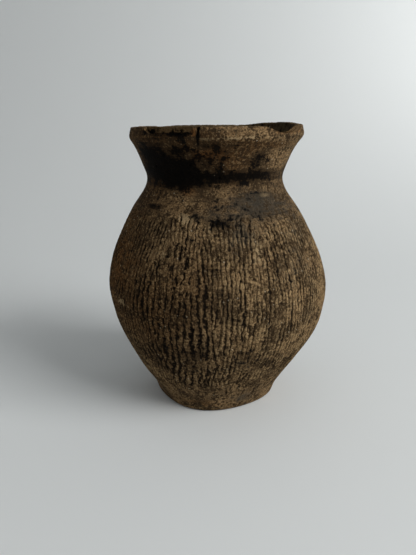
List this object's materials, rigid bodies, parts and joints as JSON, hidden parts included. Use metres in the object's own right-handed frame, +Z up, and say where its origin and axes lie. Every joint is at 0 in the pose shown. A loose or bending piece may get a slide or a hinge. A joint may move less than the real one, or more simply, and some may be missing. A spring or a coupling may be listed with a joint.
{
  "type": "pottery jar",
  "caption": "Hand-built earthenware jar with a small flat foot, a cord-marked round belly, a pinched neck and a flared mouth with a chipped rim strip.",
  "frame": {"origin": "on the resting plane, under the middle of the jar's overall width and depth", "axes": "+Z up through the mouth, -Y towards the chipped side of the rim, +X to that side's right"},
  "size_m": [0.1456, 0.1455, 0.1814],
  "materials": {
    "foot_clay": "unglazed low-fired earthenware, smoothed and worn",
    "brown_clay": "unglazed low-fired earthenware, cord-marked, matt",
    "tan_clay": "unglazed low-fired earthenware, cord-marked, matt",
    "dark_clay": "unglazed low-fired earthenware, smoke-darkened",
    "sooty_clay": "unglazed low-fired earthenware, wiped smooth, sooty"
  },
  "bodies": {
    "root": {"base_disc": "foot_clay", "foot_coil": "foot_clay", "lower_wall_coil": "brown_clay", "lower_belly_coil": "brown_clay", "belly_coil": "tan_clay", "upper_belly_coil": "brown_clay", "shoulder_coil": "dark_clay", "neck_coil": "sooty_clay", "rim_coil": "dark_clay", "rim_band": "brown_clay"}
  },
  "joints": []
}
